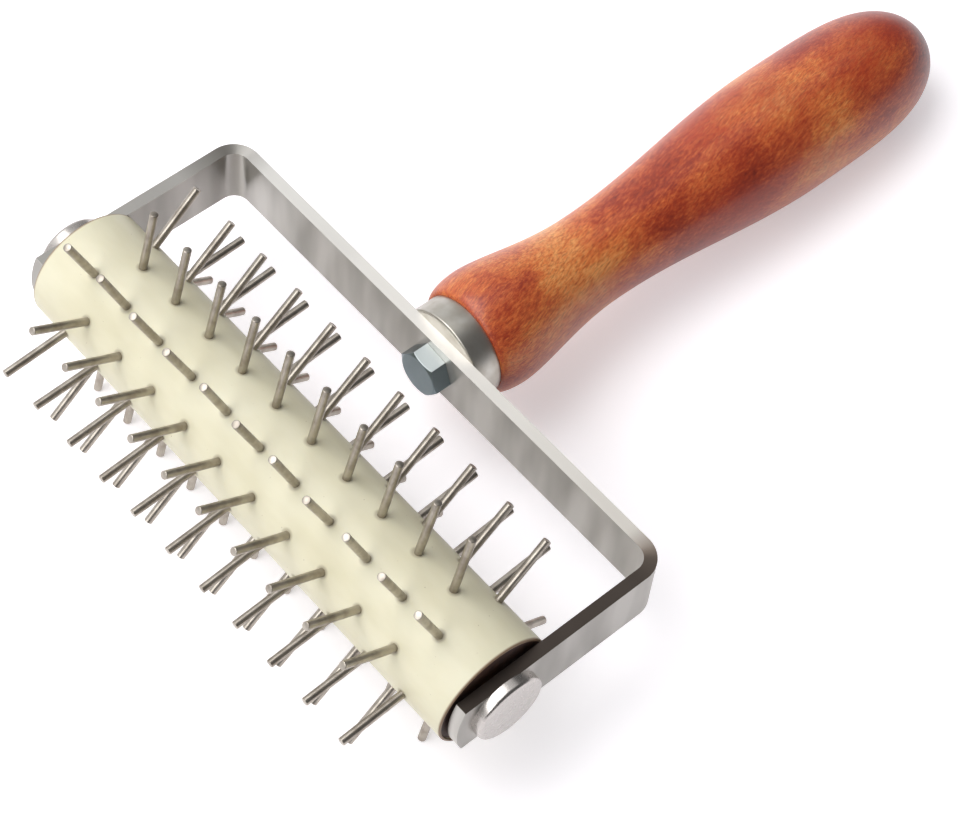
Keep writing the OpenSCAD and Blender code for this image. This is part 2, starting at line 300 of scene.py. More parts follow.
def lacquered_wood(base):
    """Turned beech under a wiped red-brown stain and lacquer: amber clouds where the stain was thin,
    deep red where it gathered, short fibres along the handle and a soft gloss."""
    material, tree, shader = new_material("beech_stained_lacquered", IOR=1.45, Roughness=0.42)
    slant = (0, 0, math.radians(12))
    clouds = mottle(tree, (15, 30, 15), detail=3, roughness=0.55, turn=slant)
    curls = mottle(tree, (0.7, 2.2, 0.7), detail=5, roughness=0.75, turn=slant)
    stain = add(tree, "ShaderNodeMix", {0: 0.42, 2: clouds, 3: curls})
    # The stain was wiped thin at the waist and on the belly, and left thick between them and at the end.
    # Each zone has its place in mm along Y and how thin the stain is there, with 0.5 as the middle.
    thin = [(-40, 0.52), (1.6, 0.66), (24, 0.4), (65.6, 0.6), (97.6, 0.42), (118.4, 0.2)]
    start, end = -40, 120
    point = add(tree, "ShaderNodeSeparateXYZ", {0: add(tree, "ShaderNodeTexCoord").outputs["Object"]})
    along = add(tree, "ShaderNodeMapRange", {"Value": point.outputs["Y"], "From Min": start * MM,
                                             "From Max": end * MM})
    zones = add(tree, "ShaderNodeValToRGB", {"Fac": along},
                stops=[((place - start) / (end - start), grey(level)) for place, level in thin])
    wiped = add(tree, "ShaderNodeMath", {0: zones, 1: 0.5}, operation="SUBTRACT")
    depth = add(tree, "ShaderNodeMath", {0: wiped, 1: 0.5, 2: stain}, operation="MULTIPLY_ADD")
    tones = add(tree, "ShaderNodeValToRGB", {"Fac": depth},
                stops=[(0.34, linear("#721e10")), (0.43, linear("#a2391b")), (0.5, base),
                       (0.57, linear("#da7b3e")), (0.66, linear("#eba25e"))])
    blush = mottle(tree, (24, 30, 24), detail=2)
    red = add(tree, "ShaderNodeMapRange", {"Value": blush, "From Min": 0.48, "From Max": 0.68,
                                           "To Min": 0.0, "To Max": 0.6})
    warmed = add(tree, "ShaderNodeMix", {0: red, 6: tones, 7: linear("#a93418")}, data_type="RGBA")
    fibres = mottle(tree, (0.3, 2.2, 0.3), detail=3, roughness=0.6, turn=slant)
    dark = add(tree, "ShaderNodeMapRange", {"Value": fibres, "From Min": 0.46, "From Max": 0.68,
                                            "To Min": 0.0, "To Max": 0.55})
    streaked = add(tree, "ShaderNodeMix", {0: dark, 6: warmed, 7: linear("#7e3020")}, data_type="RGBA")
    tree.links.new(streaked.outputs[2], shader.inputs["Base Color"])
    ripple = mottle(tree, (2.2, 5, 2.2), detail=2)
    skin = add(tree, "ShaderNodeBump", {"Height": ripple, "Distance": 0.04 * MM, "Strength": 0.5})
    tree.links.new(skin.outputs[0], shader.inputs["Normal"])
    shader.inputs["Coat Weight"].default_value = 0.3
    shader.inputs["Coat Roughness"].default_value = 0.25
    return material


def rolled_steel(base, width, thick, long):
    """Cold-rolled flat bar, ground along its length and nickelled: a satin whose reflections are drawn
    out across the bar, with painted reflection in soft dim bands across it and faint scratches along it.
    Its narrow edges have painted reflection too: light on the cross part, dark at the bends and on the
    right arm."""
    material, tree, shader = new_material("steel_bar_ground_nickelled", Metallic=1.0)
    uv = add(tree, "ShaderNodeUVMap", uv_map="along_bar").outputs[0]
    # Soft dim bands across the bar: painted reflection of the shaded floor. The same noise also sets the
    # roughness.
    bands = mottle(tree, (8, 40, 1), detail=2, roughness=0.4, place=uv)
    faces = add(tree, "ShaderNodeValToRGB", {"Fac": bands},
                stops=[(0.32, linear("#a29f9a")), (0.62, linear("#bebbb6"))])
    across = add(tree, "ShaderNodeSeparateXYZ", {0: uv})
    girth = add(tree, "ShaderNodeMath", {0: across.outputs["Y"], 1: width + thick}, operation="MODULO")
    edge = add(tree, "ShaderNodeMath", {0: girth, 1: width - 0.1 * MM}, operation="GREATER_THAN")
    # The narrow edges get painted reflection along the bar: light on the cross part, dark at the bends and
    # on the right arm.
    share_along = add(tree, "ShaderNodeMapRange", {"Value": across.outputs["X"], "From Max": long})
    painted_edge_reflection = add(tree, "ShaderNodeValToRGB", {"Fac": share_along},
                 stops=[(0.16, base), (0.21, linear("#8f8b85")), (0.26, linear("#d6d4d0")),
                        (0.5, linear("#cecbc6")), (0.62, linear("#bebbb6")), (0.745, linear("#b3afa9")),
                        (0.77, linear("#776c63")), (0.8, linear("#625953"))])
    tint = add(tree, "ShaderNodeMix", {0: edge, 6: faces, 7: painted_edge_reflection}, data_type="RGBA")
    tree.links.new(tint.outputs[2], shader.inputs["Base Color"])
    rough = add(tree, "ShaderNodeMapRange", {"Value": bands, "From Min": 0.3, "From Max": 0.7,
                                             "To Min": 0.37, "To Max": 0.33})
    tree.links.new(rough.outputs[0], shader.inputs["Roughness"])
    # Real grinding marks are finer, and are drawn as coarse as they need to show.
    scratches = mottle(tree, (30, 0.2, 1), detail=2, place=uv)
    ground = add(tree, "ShaderNodeBump", {"Height": scratches, "Distance": 0.002 * MM, "Strength": 0.4})
    tree.links.new(ground.outputs[0], shader.inputs["Normal"])
    shader.inputs["Anisotropic"].default_value = 0.95
    shader.inputs["Anisotropic Rotation"].default_value = 0.25
    along = add(tree, "ShaderNodeTangent", direction_type="UV_MAP", uv_map="along_bar")
    tree.links.new(along.outputs[0], shader.inputs["Tangent"])
    return material


def turned_steel(base):
    """Turned and nickelled steel of the caps and the rod: a smoother grey mirror with small smears."""
    material, tree, shader = new_material("steel_turned_nickelled", Metallic=1.0)
    shader.inputs["Base Color"].default_value = base
    smears = mottle(tree, (3, 3, 3), detail=4)
    rough = add(tree, "ShaderNodeMapRange", {"Value": smears, "From Min": 0.3, "From Max": 0.7,
                                             "To Min": 0.22, "To Max": 0.32})
    tree.links.new(rough.outputs[0], shader.inputs["Roughness"])
    return material


def drawn_steel(base):
    """Drawn steel tube and stamped steel sheet, nickelled, of the ferrule and its disc: a softer, warmer
    grey satin that is a little cloudy."""
    material, tree, shader = new_material("steel_drawn_nickelled", Metallic=1.0)
    clouds = mottle(tree, (4, 4, 4), detail=2)
    tint = add(tree, "ShaderNodeValToRGB", {"Fac": clouds}, stops=[(0.35, linear("#b5b0a6")), (0.62, base)])
    tree.links.new(tint.outputs[0], shader.inputs["Base Color"])
    rough = add(tree, "ShaderNodeMapRange", {"Value": clouds, "From Min": 0.3, "From Max": 0.7,
                                             "To Min": 0.42, "To Max": 0.34})
    tree.links.new(rough.outputs[0], shader.inputs["Roughness"])
    return material


def pin_steel(base):
    """Drawn steel wire, cut to length: a dull, warm grey satin that is a little cloudy."""
    material, tree, shader = new_material("steel_wire_drawn", Metallic=1.0)
    clouds = mottle(tree, (3, 3, 3), detail=2)
    tint = add(tree, "ShaderNodeValToRGB", {"Fac": clouds}, stops=[(0.35, linear("#9a9288")), (0.6, base)])
    tree.links.new(tint.outputs[0], shader.inputs["Base Color"])
    rough = add(tree, "ShaderNodeMapRange", {"Value": clouds, "From Min": 0.3, "From Max": 0.7,
                                             "To Min": 0.38, "To Max": 0.32})
    tree.links.new(rough.outputs[0], shader.inputs["Roughness"])
    return material


def zinc(base):
    """Zinc plate on a cold-headed screw: a cool blue-grey satin, with marks around its head that draw
    reflections out along the screw. Faces that point up, the top flat most, have a painted highlight."""
    material, tree, shader = new_material("steel_zinc_plated", Metallic=1.0)
    # Painted highlight: faces that point up, the top flat most, get a lighter colour.
    facing = add(tree, "ShaderNodeSeparateXYZ", {0: add(tree, "ShaderNodeNewGeometry").outputs["Normal"]})
    upward = add(tree, "ShaderNodeMapRange", {"Value": facing.outputs["Z"], "From Min": 0.72,
                                              "From Max": 0.97})
    top_highlight_tint = add(tree, "ShaderNodeMix", {0: upward, 6: base, 7: linear("#cdd5d5")}, data_type="RGBA")
    tree.links.new(top_highlight_tint.outputs[2], shader.inputs["Base Color"])
    crystals = mottle(tree, (2.5, 2.5, 2.5), detail=2)
    rough = add(tree, "ShaderNodeMapRange", {"Value": crystals, "From Min": 0.3, "From Max": 0.7,
                                             "To Min": 0.3, "To Max": 0.36})
    tree.links.new(rough.outputs[0], shader.inputs["Roughness"])
    shader.inputs["Anisotropic"].default_value = 0.6
    shader.inputs["Anisotropic Rotation"].default_value = 0.25
    around = add(tree, "ShaderNodeTangent", direction_type="UV_MAP", uv_map="around_head")
    tree.links.new(around.outputs[0], shader.inputs["Tangent"])
    return material


def hard_fibre(base):
    """A dull, dark red-brown, faintly mottled, for the discs in the roller's ends."""
    material, tree, shader = new_material("hard_fibre_stamped", IOR=1.5, Roughness=0.6)
    mottled_tone = mottle(tree, (1.2, 1.2, 1.2), detail=4)
    tint = add(tree, "ShaderNodeValToRGB", {"Fac": mottled_tone}, stops=[(0.35, linear("#2e1a14")), (0.62, base)])
    tree.links.new(tint.outputs[0], shader.inputs["Base Color"])
    rough = add(tree, "ShaderNodeBump", {"Height": mottled_tone, "Distance": 0.03 * MM})
    tree.links.new(rough.outputs[0], shader.inputs["Normal"])
    return material


def bronze(base):
    """Sintered bronze: a dull yellow-brown with fine pores, drawn coarser than they are so they show."""
    material, tree, shader = new_material("bronze_sintered", Metallic=1.0, Roughness=0.5)
    shader.inputs["Base Color"].default_value = base
    pores = mottle(tree, (0.3, 0.3, 0.3), detail=2)
    rough = add(tree, "ShaderNodeBump", {"Height": pores, "Distance": 0.02 * MM})
    tree.links.new(rough.outputs[0], shader.inputs["Normal"])
    return material


def mesh_object(name, points, faces, matrix, smooth_below=30):
    """A mesh in the scene, placed by matrix, facing outwards and smooth where it bends less than that."""
    mesh = bpy.data.meshes.new(name)
    mesh.from_pydata([matrix @ Vector(p) for p in points], [], faces)
    made = bmesh.new()
    made.from_mesh(mesh)
    bmesh.ops.recalc_face_normals(made, faces=made.faces)
    made.to_mesh(mesh)
    made.free()
    mesh.shade_smooth()
    mesh.set_sharp_from_angle(angle=math.radians(smooth_below))
    obj = bpy.data.objects.new(name, mesh)
    bpy.context.scene.collection.objects.link(obj)
    return obj


def revolved(name, outline, matrix, steps=96, ring=False):
    """A turned piece. The outline holds (radius, distance along Z) points, runs from pole to pole or,
    for a ring, round a closed section, and matrix places it."""
    points = []
    rows = []
    for radius, along in outline:
        if radius == 0:
            rows.append([len(points)] * steps)
            points.append((0, 0, along))
            continue
        rows.append(list(range(len(points), len(points) + steps)))
        for k in range(steps):
            a = 2 * math.pi * k / steps
            points.append((radius * math.cos(a), radius * math.sin(a), along))
    faces = []
    for low, high in zip(rows, rows[1:] + rows[:1] if ring else rows[1:]):
        for k in range(steps):
            corners = (low[k], low[(k + 1) % steps], high[(k + 1) % steps], high[k])
            faces.append(list(dict.fromkeys(corners)))
    return mesh_object(name, points, faces, matrix)


def arc(centre, radius, start, end, steps=6):
    """Points of a rounded corner, with angles in degrees."""
    turns = [math.radians(start + (end - start) * k / steps) for k in range(steps + 1)]
    return [(centre[0] + radius * math.cos(a), centre[1] + radius * math.sin(a)) for a in turns]


def settle(obj, *helpers):
    """Turns what the modifiers make of obj into its plain mesh, and removes the helper objects."""
    bpy.context.view_layer.update()
    seen = obj.evaluated_get(bpy.context.evaluated_depsgraph_get())
    mesh = bpy.data.meshes.new_from_object(seen)
    obj.modifiers.clear()
    old = obj.data
    obj.data = mesh
    mesh.name = obj.name
    bpy.data.meshes.remove(old)
    for helper in helpers:
        bpy.data.objects.remove(helper)
    return obj


def cut(obj, cutter, operation="DIFFERENCE"):
    """Adds a boolean with cutter to obj."""
    step = obj.modifiers.new("cut", "BOOLEAN")
    step.object = cutter
    step.operation = operation
    step.solver = "EXACT"


def round_edges(obj, radius, above=40, segments=3):
    """Rounds the edges of obj that turn more sharply than above, in degrees."""
    step = obj.modifiers.new("edges", "BEVEL")
    step.width = radius
    step.segments = segments
    step.limit_method = "ANGLE"
    step.angle_limit = math.radians(above)
    step.harden_normals = True


def dress(obj, material, body, slot, *nodes):
    """Gives a finished piece its material and its place in the frame."""
    obj.data.materials.clear()
    obj.data.materials.append(material)
    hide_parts(*nodes)
    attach(obj, body)


class DOCKER_OT_roller(bpy.types.Operator):
    """Make the plastic roller and its end discs, and finish its bushes"""
    bl_idname = "docker.roller"
    bl_label = "Roller"

    def execute(self, context):
        size = context.scene.docker_roller
        tint = context.scene.docker_colours
        half = ROLLER_L / 2
        shoulder = ROLLER_R - size.rim
        depth = half - size.seat_depth
        recess = DISC_R + FIT
        straight = [(ROLLER_R, half * t / 8) for t in range(-7, 8)]
        outline = ([(size.relief, -depth), (size.seat, -depth), (size.seat, -DISC_LOW.x),
                    (recess, -DISC_LOW.x), (recess, -half), (shoulder, -half)]
                   + arc((shoulder, -half + size.rim), size.rim, -90, 0, 8) + straight
                   + arc((shoulder, half - size.rim), size.rim, 0, 90, 8)
                   + [(recess, half), (recess, DISC_LOW.x), (size.seat, DISC_LOW.x),
                      (size.seat, depth), (size.relief, depth)])
        roller = revolved("roller_body", outline, AT_AXLE @ ALONG_X, steps=160, ring=True)
        plastic = cream_plastic(tint.cream_plastic, len(PIN_ROWS), size.long_row, size.pitch,
                                size.pin_radius)
        dress(roller, plastic, "pin_roller", "cream_plastic", "roller")
        sheet = hard_fibre(tint.hard_fibre)
        sharp = 0.1 * MM
        for side, name in ((-1, "left"), (1, "right")):
            face = side * DISC_HIGH.x
            outline = [(size.seat, side * DISC_LOW.x), (size.seat, face), (DISC_R - sharp, face),
                       (DISC_R, face - side * sharp), (DISC_R, side * DISC_LOW.x)]
            disc = revolved(f"{name}_disc", outline, AT_AXLE @ ALONG_X, ring=True)
            dress(disc, sheet, "pin_roller", "hard_fibre", f"{name}_end_disc")
        metal = bronze(tint.bronze)
        for name in ("left_bush", "right_bush"):
            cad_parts[name].data.materials.clear()
            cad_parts[name].data.materials.append(metal)
        return {"FINISHED"}


def pin_tree(material):
    """Geometry nodes that set one pin at every place of every row around the axle."""
    tree = bpy.data.node_groups.new("pin_rows", "GeometryNodeTree")
    for name, kind in (("Pin", "Object"), ("Rows", "Int"), ("Long Row", "Int"), ("Pitch", "Float"),
                       ("Wander", "Float"), ("Seed", "Int")):
        tree.interface.new_socket(name, in_out="INPUT", socket_type=f"NodeSocket{kind}")
    tree.interface.new_socket("Pins", in_out="OUTPUT", socket_type="NodeSocketGeometry")
    given = add(tree, "NodeGroupInput").outputs

    # Every row gets the points of a long one, and the last point of a short row is left without a pin.
    index = add(tree, "GeometryNodeInputIndex")
    rows_done = add(tree, "ShaderNodeMath", {0: index, 1: given["Long Row"]}, operation="DIVIDE")
    row = add(tree, "ShaderNodeMath", {0: rows_done}, operation="FLOOR")
    place = add(tree, "ShaderNodeMath", {0: index, 1: given["Long Row"]}, operation="MODULO")
    odd = add(tree, "ShaderNodeMath", {0: row, 1: 2.0}, operation="MODULO")
    in_row = add(tree, "ShaderNodeMath", {0: given["Long Row"], 1: odd}, operation="SUBTRACT")
    last = add(tree, "ShaderNodeMath", {0: in_row, 1: 1.0}, operation="SUBTRACT")
    centred = add(tree, "ShaderNodeMath", {0: last, 1: -0.5, 2: place}, operation="MULTIPLY_ADD")
    along = add(tree, "ShaderNodeMath", {0: centred, 1: given["Pitch"]}, operation="MULTIPLY")
    step = add(tree, "ShaderNodeMath", {0: 2 * math.pi, 1: given["Rows"]}, operation="DIVIDE")
    steps = add(tree, "ShaderNodeMath", {0: 0.5, 1: row}, operation="SUBTRACT")
    turn = add(tree, "ShaderNodeMath", {0: steps, 1: step}, operation="MULTIPLY")

    count = add(tree, "ShaderNodeMath", {0: given["Rows"], 1: given["Long Row"]}, operation="MULTIPLY")
    points = add(tree, "GeometryNodePoints", {"Count": count})
    spread = add(tree, "GeometryNodeSetPosition",
                 {"Geometry": points, "Position": add(tree, "ShaderNodeCombineXYZ", {"X": along})})
    facing = add(tree, "FunctionNodeEulerToRotation", {0: add(tree, "ShaderNodeCombineXYZ", {"X": turn})})
    least = add(tree, "ShaderNodeVectorMath", {0: (-1, -1, 0), "Scale": given["Wander"]}, operation="SCALE")
    most = add(tree, "ShaderNodeVectorMath", {0: (1, 1, 0), "Scale": given["Wander"]}, operation="SCALE")
    tilt = add(tree, "FunctionNodeRandomValue", {0: least, 1: most, "Seed": given["Seed"]},
               data_type="FLOAT_VECTOR")
    swung = add(tree, "FunctionNodeRotateRotation",
                {0: facing, 1: add(tree, "FunctionNodeEulerToRotation", {0: tilt})}, rotation_space="LOCAL")
    pin = add(tree, "GeometryNodeObjectInfo", {"Object": given["Pin"]})
    used = add(tree, "FunctionNodeCompare", {0: place, 1: last}, operation="LESS_EQUAL", data_type="FLOAT")
    placed = add(tree, "GeometryNodeInstanceOnPoints",
                 {"Points": spread, "Selection": used, "Instance": pin.outputs["Geometry"],
                  "Rotation": swung})
    real = add(tree, "GeometryNodeRealizeInstances", {0: placed})
    dressed = add(tree, "GeometryNodeSetMaterial", {"Geometry": real, "Material": material})
    add(tree, "NodeGroupOutput", {0: dressed})
    return tree


class DOCKER_OT_pins(bpy.types.Operator):
    """Make the rows of pins"""
    bl_idname = "docker.pins"
    bl_label = "Pins"

    def execute(self, context):
        size = context.scene.docker_roller
        r = size.pin_radius
        low = ROLLER_R - size.pin_sink
        top = ROLLER_R + size.pin_out
        burr = 0.12 * MM
        outline = [(0, low), (r, low), (r, ROLLER_R), (r, top - burr), (r - burr / 2, top - burr / 4),
                   (r - burr, top), (0, top)]
        blank = revolved("pin_blank", outline, Matrix(), steps=24)
        material = pin_steel(context.scene.docker_colours.pin_steel)
        tree = pin_tree(material)
        pins = mesh_object("pins", [], [], Matrix())
        step = pins.modifiers.new("rows", "NODES")
        step.node_group = tree
        values = {"Pin": blank, "Rows": len(PIN_ROWS), "Long Row": size.long_row, "Pitch": size.pitch,
                  "Wander": size.wander, "Seed": size.seed}
        for item in tree.interface.items_tree:
            if item.in_out == "INPUT":
                step[item.identifier] = values[item.name]
        settle(pins, blank)
        pins.data.transform(AT_AXLE)
        dress(pins, material, "pin_roller", "pin_steel", *PIN_ROWS)
        return {"FINISHED"}


class DOCKER_OT_yoke(bpy.types.Operator):
    """Make the bent bar"""
    bl_idname = "docker.yoke"
    bl_label = "Yoke"

    def execute(self, context):
        size = context.scene.docker_yoke
        half = YOKE_W / 2
        centre = (half - size.bar_thickness - size.bend, size.reach - size.bar_thickness - size.bend)
        bend_steps = 24
        across = 16
        # Stations along the right half, as the outward direction, how far along the arm, and the bend
        stations = []
        for k in range(bend_steps + 1):
            a = math.radians(90 - 90 * k / bend_steps)
            stations.append((Vector((math.cos(a), math.sin(a), 0)), Vector((*centre, 0))))
        arm = Vector((1, 0, 0))
        stations += [(arm, Vector((centre[0], y, 0))) for y in (0.5 * centre[1], 0, -size.tail)]
        mirror = Vector((-1, 1, 1))
        path = [(out * mirror, base * mirror) for out, base in reversed(stations)]
        path += [(Vector((0, 1, 0)), Vector((x * centre[0], centre[1], 0))) for x in (-0.5, 0, 0.5)]
        path += stations
        points = []
        marks = []
        walked = 0
        previous = None
        for number, (out, base) in enumerate(path):
            mid = base + out * (size.bend + size.bar_thickness / 2)
            walked += (mid - previous).length if previous else 0
            previous = mid
            at_end = number in (0, len(path) - 1)
            for side, radius in ((1, size.bend), (-1, size.bend + size.bar_thickness)):
                for k in range(across + 1):
                    z = side * (k / across - 0.5) * size.bar_width
                    point = base + out * radius + Vector((0, 0, z))
                    if at_end:
                        point.y += size.crown - math.sqrt(size.crown ** 2 - z ** 2)
                    points.append(point)
                    back = 0 if side > 0 else size.bar_width + size.bar_thickness
                    marks.append((walked, back + size.bar_width * k / across))
        around = 2 * (across + 1)
        faces = []
        for n in range(len(path) - 1):
            for k in range(around):
                low, high = n * around, (n + 1) * around
                after = (k + 1) % around
                faces.append((low + k, low + after, high + after, high + k))
        for start in (0, (len(path) - 1) * around):
            for k in range(across):
                far = around - 1 - k
                faces.append((start + k, start + k + 1, start + far - 1, start + far))
        yoke = mesh_object("yoke_bar", points, faces, Matrix())
        layer = yoke.data.uv_layers.new(name="along_bar")
        girth = 2 * (size.bar_width + size.bar_thickness)
        for face in yoke.data.polygons:
            spots = [marks[yoke.data.loops[i].vertex_index] for i in face.loop_indices]
            highest = max(v for u, v in spots)
            flat_end = len({u for u, v in spots}) == 1
            for i, (u, v) in zip(face.loop_indices, spots):
                if flat_end:
                    inside = v <= size.bar_width
                    u, v = (u, v) if inside else (u + size.bar_thickness, girth - size.bar_thickness - v)
                elif highest - v > girth / 2:
                    v += girth
                layer.data[i].uv = (u, v)
        bore = revolved("bore", [(0, -YOKE_W), (size.hole, -YOKE_W), (size.hole, YOKE_W), (0, YOKE_W)],
                        ALONG_X, steps=48)
        screw_hole = revolved("screw_hole", [(0, 0), (size.hole, 0), (size.hole, 2 * size.reach),
                                             (0, 2 * size.reach)], ALONG_Y, steps=48)
        cut(yoke, bore)
        cut(yoke, screw_hole)
        round_edges(yoke, size.edge)
        settle(yoke, bore, screw_hole)
        yoke.data.transform(LEANING)
        tint = context.scene.docker_colours.bright_steel
        metal = rolled_steel(tint, size.bar_width, size.bar_thickness, walked)
        dress(yoke, metal, "grip", "bright_steel", "yoke")
        return {"FINISHED"}


class DOCKER_OT_axle(bpy.types.Operator):
    """Make the two axle caps and finish the rod"""
    bl_idname = "docker.axle"
    bl_label = "Axle and caps"

    def execute(self, context):
        size = context.scene.docker_yoke
        metal = turned_steel(context.scene.docker_colours.cap_steel)
        inner = CAP_T - size.cap_skin
        shoulder = size.cap_radius - size.cap_edge
        outline = ([(0, inner), (size.stub, inner), (size.stub, 0), (size.cap_radius, 0)]
                   + arc((shoulder, CAP_T - size.cap_edge), size.cap_edge, 0, 90, 8) + [(0, CAP_T)])
        for side, name in ((-1, "left"), (1, "right")):
            turn = Matrix.Rotation(math.radians(90 * side), 4, "Y")
            place = LEANING @ Matrix.Translation((side * YOKE_W / 2, 0, 0)) @ turn
            cap = revolved(f"{name}_cap", outline, place)
            dress(cap, metal, "grip", "bright_steel", f"{name}_axle_cap")
        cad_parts["axle_rod"].data.materials.clear()
        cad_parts["axle_rod"].data.materials.append(metal)
        return {"FINISHED"}


class DOCKER_OT_screw(bpy.types.Operator):
    """Make the hex-head screw"""
    bl_idname = "docker.screw"
    bl_label = "Handle screw"

    def execute(self, context):
        size = context.scene.docker_screw
        yoke = context.scene.docker_yoke
        corner = size.across_flats / math.sqrt(3)
        turn = Matrix.Rotation(size.turn, 4, "Z")
        place = LEANING @ Matrix.Translation((0, yoke.reach - yoke.bar_thickness, 0)) @ ALONG_Y @ turn
        wide = 1.2 * corner
        slope = 2 * size.chamfer
        trimmed = revolved("trimmed", [(0, -size.head), (corner - slope, -size.head),
                                       (wide, -size.head + size.chamfer * (wide - corner + slope) / slope),
                                       (wide, wide), (0, wide)], place, steps=96)
        hexagon = [(corner * math.cos(math.radians(60 * k)), corner * math.sin(math.radians(60 * k)))
                   for k in range(6)]
        points = [(x, y, z) for z in (-size.head, 0) for x, y in hexagon]
        sides = [(k, (k + 1) % 6, (k + 1) % 6 + 6, k + 6) for k in range(6)]
        screw = mesh_object("hex_screw", points, sides + [tuple(range(6)), tuple(range(6, 12))], place)
        straight = size.under_head - size.point
        shank = revolved("shank", [(0, -size.head / 2), (size.shank, -size.head / 2),
                                   (size.shank, straight), (size.point_radius, size.under_head),
                                   (0, size.under_head)], place, steps=48)
        cut(screw, trimmed, "INTERSECT")
        cut(screw, shank, "UNION")
        round_edges(screw, 0.16 * MM, above=18, segments=2)
        settle(screw, trimmed, shank)
        # The first coordinate grows across the screw, so the marks of the plating run around its head.
        layer = screw.data.uv_layers.new(name="around_head")
        for loop in screw.data.loops:
            x, y, z = screw.data.vertices[loop.vertex_index].co
            layer.data[loop.index].uv = (x, y + 0.3 * z)
        dress(screw, zinc(context.scene.docker_colours.zinc), "grip", "zinc", "handle_screw")
        return {"FINISHED"}


class DOCKER_OT_ferrule(bpy.types.Operator):
    """Make the ferrule and the disc in its mouth"""
    bl_idname = "docker.ferrule"
    bl_label = "Ferrule and washer"

    def execute(self, context):
        size = context.scene.docker_handle
        yoke = context.scene.docker_yoke
        metal = drawn_steel(context.scene.docker_colours.ferrule_steel)
        place = LEANING @ Matrix.Translation((0, yoke.reach, 0)) @ ALONG_Y
        bore = size.ferrule_radius - size.ferrule_wall
        edge = size.ferrule_edge
        back = 0.15 * MM
        end = size.ferrule_length
        outline = ([(bore, 0)] + arc((size.ferrule_radius - edge, edge), edge, -90, 0, 8)
                   + arc((size.ferrule_radius - back, end - back), back, 0, 90, 3) + [(bore, end)])
        ferrule = revolved("ferrule_ring", outline, place, ring=True)
        dress(ferrule, metal, "grip", "bright_steel", "ferrule")
        rim = bore - size.washer_gap
        disc = ([(yoke.hole, 0), (rim, 0), (rim, size.washer), (yoke.hole, size.washer)])
        washer = revolved("washer_disc", disc, place, ring=True)
        dress(washer, metal, "grip", "bright_steel", "end_washer")
        return {"FINISHED"}


def ease(t):
    """Smooth step from 0 to 1."""
    return (1 - math.cos(math.pi * t)) / 2


class DOCKER_OT_handle(bpy.types.Operator):
    """Turn the wooden handle"""
    bl_idname = "docker.handle"
    bl_label = "Handle"

    def execute(self, context):
        size = context.scene.docker_handle
        yoke = context.scene.docker_yoke
        screw = context.scene.docker_screw
        spigot = size.ferrule_radius - size.ferrule_wall - FIT
        pilot = screw.shank + FIT
        screw_tip = screw.under_head - yoke.bar_thickness
        past_tip = 0.1 * MM
        front = [(0, screw_tip + past_tip), (pilot, screw_tip - screw.point), (pilot, size.washer),
                 (spigot, size.washer), (spigot, size.ferrule_length)]
        steps = 40
        parts = [k / steps for k in range(1, steps + 1)]
        shoulder = [(size.neck + (size.swell - size.neck) * math.sin(t * math.pi / 2),
                     size.swell_at - (size.swell_at - size.ferrule_length) * math.cos(t * math.pi / 2))
                    for t in [0] + parts[1::2]]
        fall = [(size.swell - (size.swell - size.waist) * ease(t ** 0.8),
                 size.swell_at + (size.waist_at - size.swell_at) * t) for t in parts]
        rise = [(size.waist + (size.belly - size.waist) * ease(t),
                 size.waist_at + (size.belly_at - size.waist_at) * t) for t in parts]
        dome = [(size.belly * math.cos(t * math.pi / 2),
                 size.belly_at + (size.end_at - size.belly_at) * math.sqrt(math.sin(t * math.pi / 2)))
                for t in parts[:-1]]
        outline = front + shoulder + fall + rise + dome + [(0, size.end_at)]
        place = LEANING @ Matrix.Translation((0, yoke.reach, 0)) @ ALONG_Y
        handle = revolved("turned_handle", outline, place, steps=128)
        tint = context.scene.docker_colours.lacquered_wood
        dress(handle, lacquered_wood(tint), "grip", "lacquered_wood", "handle")
        return {"FINISHED"}


